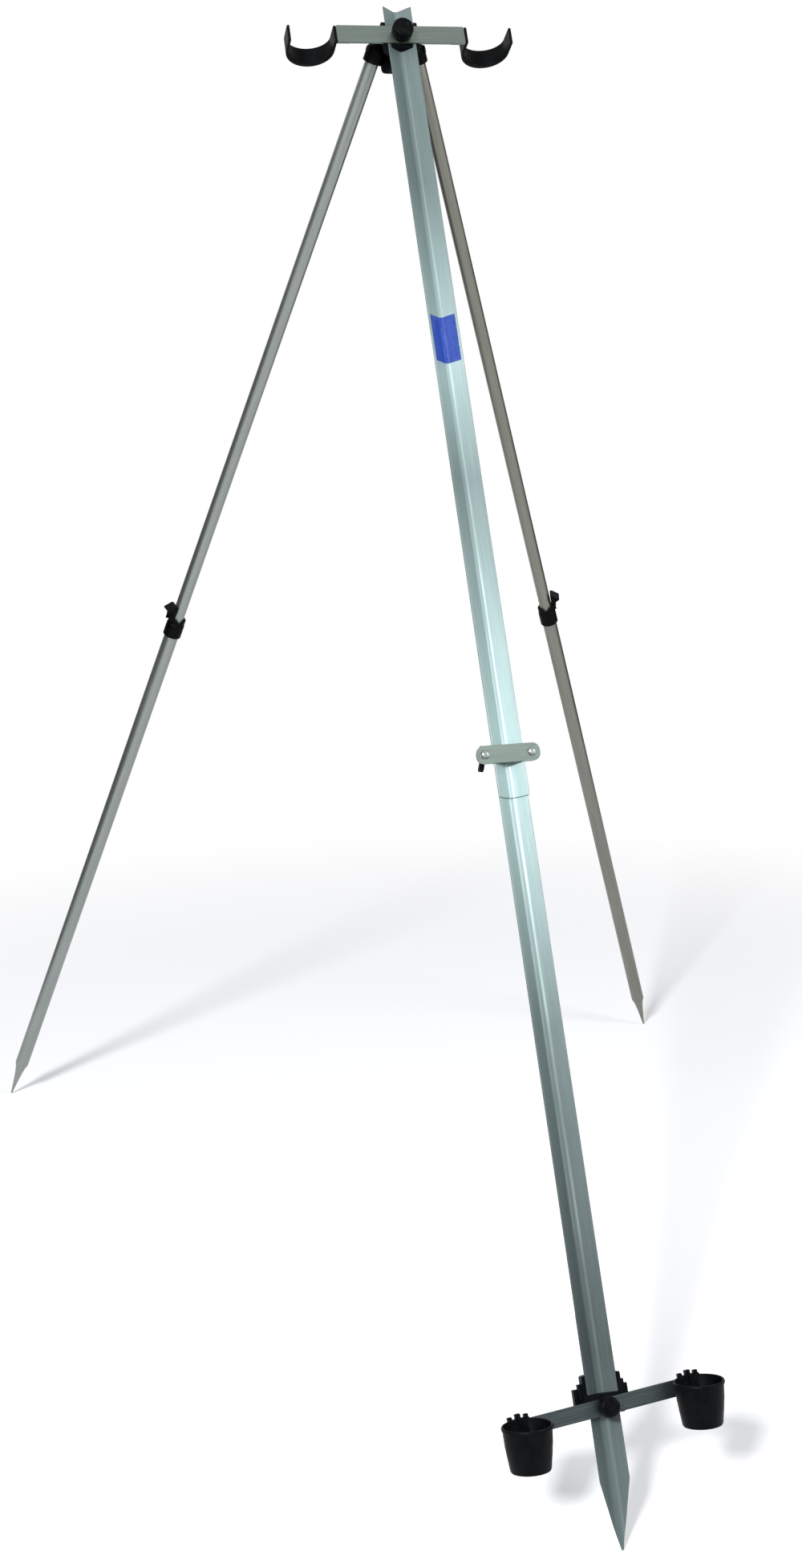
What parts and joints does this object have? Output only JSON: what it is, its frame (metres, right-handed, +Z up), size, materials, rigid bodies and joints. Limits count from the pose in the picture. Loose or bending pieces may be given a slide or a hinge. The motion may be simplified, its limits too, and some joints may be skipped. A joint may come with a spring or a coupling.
{
  "type": "surf rod tripod",
  "caption": "Beach tripod with a channel-section spiked front leg, two folding telescoping tube legs, a crossbar with rod cradles on top and a crossbar with butt cups below.",
  "frame": {"origin": "bottom centre of the bounding box, on the ground the feet stand on", "axes": "+Z up, front leg towards -Y, side legs towards +Y, +X to the right when seen from the front leg"},
  "size_m": [1.12, 1.427, 1.6262],
  "materials": {
    "alloy": "mill finish, faint lengthwise draw lines",
    "alloy_warm": "mill finish tube",
    "fastener_steel": "plated, satin",
    "black_plastic": "moulded, satin"
  },
  "bodies": {
    "frame": {"main_leg_upper": "alloy", "head_block": "black_plastic", "channel_insert": "black_plastic", "top_stud": "fastener_steel", "clamp_bar": "alloy", "clamp_back_plate": "alloy", "clamp_bolt_left": "fastener_steel", "clamp_bolt_right": "fastener_steel", "clamp_nut": "fastener_steel", "leg_pin_left": "black_plastic", "leg_pin_right": "black_plastic"},
    "rod_rest": {"top_crossbar": "alloy", "cradle_left": "black_plastic", "cradle_right": "black_plastic", "cradle_rivet_left": "alloy", "cradle_rivet_right": "alloy"},
    "top_knob": {"top_knob": "black_plastic"},
    "clamp_wing": {"clamp_wing_nut": "black_plastic"},
    "lower_leg": {"main_leg_lower": "alloy", "main_leg_spike": "alloy", "spike_rivet_1": "fastener_steel", "spike_rivet_2": "fastener_steel"},
    "butt_bracket": {"lower_bracket": "black_plastic", "lower_stud": "fastener_steel"},
    "butt_rest": {"lower_crossbar": "alloy", "cup_left": "black_plastic", "cup_right": "black_plastic", "cup_screw_left": "fastener_steel", "cup_screw_right": "fastener_steel"},
    "lower_knob": {"lower_knob": "black_plastic"},
    "left_leg": {"leg_knuckle_left": "black_plastic", "side_leg_upper_left": "alloy"},
    "left_leg_lower": {"side_leg_lower_left": "alloy", "leg_collar_left": "black_plastic", "lever_pin_left": "black_plastic"},
    "left_lever": {"collar_lever_left": "black_plastic"},
    "right_leg": {"leg_knuckle_right": "black_plastic", "side_leg_upper_right": "alloy_warm"},
    "right_leg_lower": {"side_leg_lower_right": "alloy_warm", "leg_collar_right": "black_plastic", "lever_pin_right": "black_plastic"},
    "right_lever": {"collar_lever_right": "black_plastic"}
  },
  "joints": [
    {"name": "top_bar_tilt", "type": "hinge", "parent": "frame", "child": "rod_rest", "pos_m": [0, 0.14429, 1.58929], "axis": [0, -0.8789, 0.477], "range_deg": [-25, 25]},
    {"name": "top_knob_turn", "type": "hinge", "parent": "frame", "child": "top_knob", "pos_m": [0, 0.14429, 1.58929], "axis": [0, -0.8789, 0.477], "continuous": true},
    {"name": "clamp_wing_turn", "type": "hinge", "parent": "frame", "child": "clamp_wing", "pos_m": [-0.0277, -0.29966, 0.76072], "axis": [0, -0.8789, 0.477], "continuous": true},
    {"name": "front_leg_slide", "type": "slide", "parent": "frame", "child": "lower_leg", "axis": [0, 0.477, 0.8789], "range_m": [0, 0.5]},
    {"name": "butt_rest_slide", "type": "slide", "parent": "lower_leg", "child": "butt_bracket", "axis": [0, -0.477, -0.8789], "range_m": [0, 0.05]},
    {"name": "butt_bar_tilt", "type": "hinge", "parent": "butt_bracket", "child": "butt_rest", "pos_m": [0, -0.64539, 0.13427], "axis": [0, -0.8789, 0.477], "range_deg": [-15, 15]},
    {"name": "lower_knob_turn", "type": "hinge", "parent": "butt_bracket", "child": "lower_knob", "pos_m": [0, -0.64539, 0.13427], "axis": [0, -0.8789, 0.477], "continuous": true},
    {"name": "left_leg_fold", "type": "hinge", "parent": "frame", "child": "left_leg", "pos_m": [-0.026, 0.17154, 1.57451], "axis": [-0.9172, -0.3502, 0.1901], "range_deg": [0, 40]},
    {"name": "left_leg_slide", "type": "slide", "parent": "left_leg", "child": "left_leg_lower", "axis": [0.3048, -0.3094, 0.9008], "range_m": [0, 0.55]},
    {"name": "left_lever_flip", "type": "hinge", "parent": "left_leg_lower", "child": "left_lever", "pos_m": [-0.29061, 0.42285, 0.8317], "axis": [0.2566, -0.8841, -0.3905], "range_deg": [0, 100]},
    {"name": "right_leg_fold", "type": "hinge", "parent": "frame", "child": "right_leg", "pos_m": [0.026, 0.17154, 1.57451], "axis": [-0.9172, 0.3502, -0.1901], "range_deg": [0, 40]},
    {"name": "right_leg_slide", "type": "slide", "parent": "right_leg", "child": "right_leg_lower", "axis": [-0.3048, -0.3094, 0.9008], "range_m": [0, 0.55]},
    {"name": "right_lever_flip", "type": "hinge", "parent": "right_leg_lower", "child": "right_lever", "pos_m": [0.29549, 0.4278, 0.81729], "axis": [0.2566, 0.8841, 0.3905], "range_deg": [0, 100]}
  ]
}
